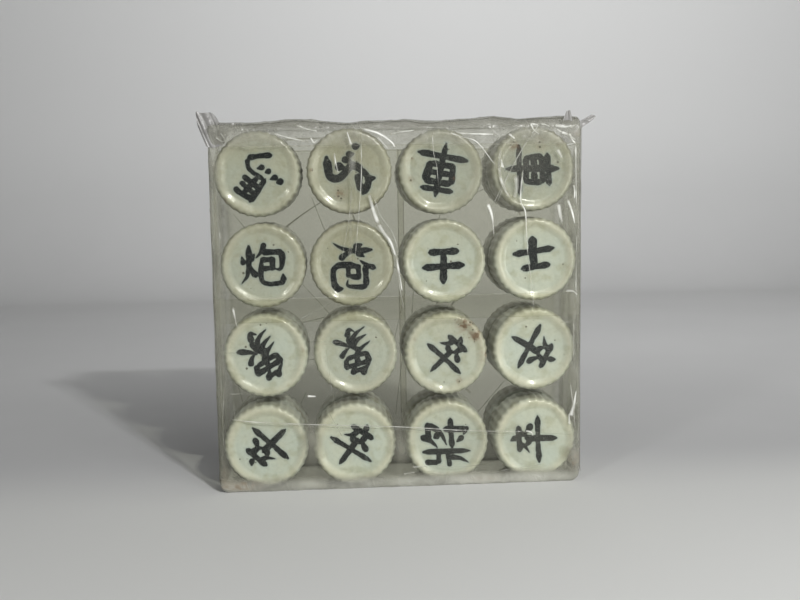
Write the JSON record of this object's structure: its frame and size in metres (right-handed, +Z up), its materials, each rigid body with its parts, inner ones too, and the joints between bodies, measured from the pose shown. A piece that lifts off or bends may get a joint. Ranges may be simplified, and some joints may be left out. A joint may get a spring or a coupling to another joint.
{
  "type": "film-wrapped set of xiangqi pieces",
  "caption": "Square pack of round glazed porcelain xiangqi pieces in two layers, held in a clear film sleeve and an outer film wrap with corner ears.",
  "frame": {"origin": "middle of the pack's underside, on the surface that it stands on", "axes": "+X along the front to the right, +Y from the front to the back, +Z up"},
  "size_m": [0.1346, 0.03, 0.1299],
  "materials": {
    "porcelain": "glossy grey-white glaze, creamy on the rims",
    "black_ink": "underglaze near-black marks, slightly raised",
    "red_ink": "underglaze red marks, slightly raised",
    "sleeve_film": "clear film with a faint yellow-grey tint",
    "wrap_film": "clear crinkled film with white creases",
    "crimped_film": "gathered clear film, whitened where it is crimped"
  },
  "bodies": {
    "wrap": {"inner_sleeve": "sleeve_film", "outer_wrap": "wrap_film", "left_end_fold": "wrap_film", "right_end_fold": "wrap_film", "top_seal": "crimped_film", "left_ear": "crimped_film", "right_ear_peak": "crimped_film", "right_ear_tail": "crimped_film"},
    "black_horse_1": {"black_horse_1": "porcelain"},
    "black_horse_2": {"black_horse_2": "porcelain"},
    "black_chariot_1": {"black_chariot_1": "porcelain"},
    "black_chariot_2": {"black_chariot_2": "porcelain"},
    "black_cannon_1": {"black_cannon_1": "porcelain"},
    "black_cannon_2": {"black_cannon_2": "porcelain"},
    "black_advisor_1": {"black_advisor_1": "porcelain"},
    "black_advisor_2": {"black_advisor_2": "porcelain"},
    "black_elephant_1": {"black_elephant_1": "porcelain"},
    "black_elephant_2": {"black_elephant_2": "porcelain"},
    "black_soldier_1": {"black_soldier_1": "porcelain"},
    "black_soldier_2": {"black_soldier_2": "porcelain"},
    "black_soldier_3": {"black_soldier_3": "porcelain"},
    "black_soldier_4": {"black_soldier_4": "porcelain"},
    "black_general": {"black_general": "porcelain"},
    "black_soldier_5": {"black_soldier_5": "porcelain"},
    "red_chariot_1": {"red_chariot_1": "porcelain"},
    "red_horse_1": {"red_horse_1": "porcelain"},
    "red_horse_2": {"red_horse_2": "porcelain"},
    "red_chariot_2": {"red_chariot_2": "porcelain"},
    "red_cannon_1": {"red_cannon_1": "porcelain"},
    "red_advisor_1": {"red_advisor_1": "porcelain"},
    "red_advisor_2": {"red_advisor_2": "porcelain"},
    "red_cannon_2": {"red_cannon_2": "porcelain"},
    "red_elephant_1": {"red_elephant_1": "porcelain"},
    "red_soldier_1": {"red_soldier_1": "porcelain"},
    "red_soldier_2": {"red_soldier_2": "porcelain"},
    "red_elephant_2": {"red_elephant_2": "porcelain"},
    "red_soldier_3": {"red_soldier_3": "porcelain"},
    "red_general": {"red_general": "porcelain"},
    "red_soldier_4": {"red_soldier_4": "porcelain"},
    "red_soldier_5": {"red_soldier_5": "porcelain"}
  },
  "joints": [
    {"name": "black_horse_1_turn", "type": "hinge", "parent": "wrap", "child": "black_horse_1", "pos_m": [-0.04717, -0.00715, 0.10905], "axis": [0, -1, 0], "continuous": true},
    {"name": "black_horse_2_turn", "type": "hinge", "parent": "wrap", "child": "black_horse_2", "pos_m": [-0.0162, -0.00715, 0.10965], "axis": [0, -1, 0], "continuous": true},
    {"name": "black_chariot_1_turn", "type": "hinge", "parent": "wrap", "child": "black_chariot_1", "pos_m": [0.0149, -0.00715, 0.10905], "axis": [0, -1, 0], "continuous": true},
    {"name": "black_chariot_2_turn", "type": "hinge", "parent": "wrap", "child": "black_chariot_2", "pos_m": [0.04665, -0.00715, 0.10965], "axis": [0, -1, 0], "continuous": true},
    {"name": "black_cannon_1_turn", "type": "hinge", "parent": "wrap", "child": "black_cannon_1", "pos_m": [-0.046, -0.00715, 0.07817], "axis": [0, -1, 0], "continuous": true},
    {"name": "black_cannon_2_turn", "type": "hinge", "parent": "wrap", "child": "black_cannon_2", "pos_m": [-0.01588, -0.00715, 0.07823], "axis": [0, -1, 0], "continuous": true},
    {"name": "black_advisor_1_turn", "type": "hinge", "parent": "wrap", "child": "black_advisor_1", "pos_m": [0.01574, -0.00715, 0.07847], "axis": [0, -1, 0], "continuous": true},
    {"name": "black_advisor_2_turn", "type": "hinge", "parent": "wrap", "child": "black_advisor_2", "pos_m": [0.0473, -0.00715, 0.07865], "axis": [0, -1, 0], "continuous": true},
    {"name": "black_elephant_1_turn", "type": "hinge", "parent": "wrap", "child": "black_elephant_1", "pos_m": [-0.046, -0.00715, 0.04735], "axis": [0, -1, 0], "continuous": true},
    {"name": "black_elephant_2_turn", "type": "hinge", "parent": "wrap", "child": "black_elephant_2", "pos_m": [-0.01523, -0.00715, 0.04747], "axis": [0, -1, 0], "continuous": true},
    {"name": "black_soldier_1_turn", "type": "hinge", "parent": "wrap", "child": "black_soldier_1", "pos_m": [0.016, -0.00715, 0.04645], "axis": [0, -1, 0], "continuous": true},
    {"name": "black_soldier_2_turn", "type": "hinge", "parent": "wrap", "child": "black_soldier_2", "pos_m": [0.04684, -0.00715, 0.04735], "axis": [0, -1, 0], "continuous": true},
    {"name": "black_soldier_3_turn", "type": "hinge", "parent": "wrap", "child": "black_soldier_3", "pos_m": [-0.04665, -0.00715, 0.01581], "axis": [0, -1, 0], "continuous": true},
    {"name": "black_soldier_4_turn", "type": "hinge", "parent": "wrap", "child": "black_soldier_4", "pos_m": [-0.0162, -0.00715, 0.01557], "axis": [0, -1, 0], "continuous": true},
    {"name": "black_general_turn", "type": "hinge", "parent": "wrap", "child": "black_general", "pos_m": [0.01614, -0.00715, 0.01545], "axis": [0, -1, 0], "continuous": true},
    {"name": "black_soldier_5_turn", "type": "hinge", "parent": "wrap", "child": "black_soldier_5", "pos_m": [0.04717, -0.00715, 0.01551], "axis": [0, -1, 0], "continuous": true},
    {"name": "red_chariot_1_turn", "type": "hinge", "parent": "wrap", "child": "red_chariot_1", "pos_m": [-0.04698, 0.00715, 0.10935], "axis": [0, 1, 0], "continuous": true},
    {"name": "red_horse_1_turn", "type": "hinge", "parent": "wrap", "child": "red_horse_1", "pos_m": [-0.01568, 0.00715, 0.10953], "axis": [0, 1, 0], "continuous": true},
    {"name": "red_horse_2_turn", "type": "hinge", "parent": "wrap", "child": "red_horse_2", "pos_m": [0.01516, 0.00715, 0.10917], "axis": [0, 1, 0], "continuous": true},
    {"name": "red_chariot_2_turn", "type": "hinge", "parent": "wrap", "child": "red_chariot_2", "pos_m": [0.04691, 0.00715, 0.10941], "axis": [0, 1, 0], "continuous": true},
    {"name": "red_cannon_1_turn", "type": "hinge", "parent": "wrap", "child": "red_cannon_1", "pos_m": [-0.04626, 0.00715, 0.07817], "axis": [0, 1, 0], "continuous": true},
    {"name": "red_advisor_1_turn", "type": "hinge", "parent": "wrap", "child": "red_advisor_1", "pos_m": [-0.01555, 0.00715, 0.07841], "axis": [0, 1, 0], "continuous": true},
    {"name": "red_advisor_2_turn", "type": "hinge", "parent": "wrap", "child": "red_advisor_2", "pos_m": [0.01588, 0.00715, 0.07823], "axis": [0, 1, 0], "continuous": true},
    {"name": "red_cannon_2_turn", "type": "hinge", "parent": "wrap", "child": "red_cannon_2", "pos_m": [0.04717, 0.00715, 0.07859], "axis": [0, 1, 0], "continuous": true},
    {"name": "red_elephant_1_turn", "type": "hinge", "parent": "wrap", "child": "red_elephant_1", "pos_m": [-0.04613, 0.00715, 0.04705], "axis": [0, 1, 0], "continuous": true},
    {"name": "red_soldier_1_turn", "type": "hinge", "parent": "wrap", "child": "red_soldier_1", "pos_m": [-0.01542, 0.00715, 0.04723], "axis": [0, 1, 0], "continuous": true},
    {"name": "red_soldier_2_turn", "type": "hinge", "parent": "wrap", "child": "red_soldier_2", "pos_m": [0.01614, 0.00715, 0.04681], "axis": [0, 1, 0], "continuous": true},
    {"name": "red_elephant_2_turn", "type": "hinge", "parent": "wrap", "child": "red_elephant_2", "pos_m": [0.04704, 0.00715, 0.04717], "axis": [0, 1, 0], "continuous": true},
    {"name": "red_soldier_3_turn", "type": "hinge", "parent": "wrap", "child": "red_soldier_3", "pos_m": [-0.04684, 0.00715, 0.01557], "axis": [0, 1, 0], "continuous": true},
    {"name": "red_general_turn", "type": "hinge", "parent": "wrap", "child": "red_general", "pos_m": [-0.01594, 0.00715, 0.01575], "axis": [0, 1, 0], "continuous": true},
    {"name": "red_soldier_4_turn", "type": "hinge", "parent": "wrap", "child": "red_soldier_4", "pos_m": [0.01581, 0.00715, 0.01545], "axis": [0, 1, 0], "continuous": true},
    {"name": "red_soldier_5_turn", "type": "hinge", "parent": "wrap", "child": "red_soldier_5", "pos_m": [0.0473, 0.00715, 0.01563], "axis": [0, 1, 0], "continuous": true}
  ]
}
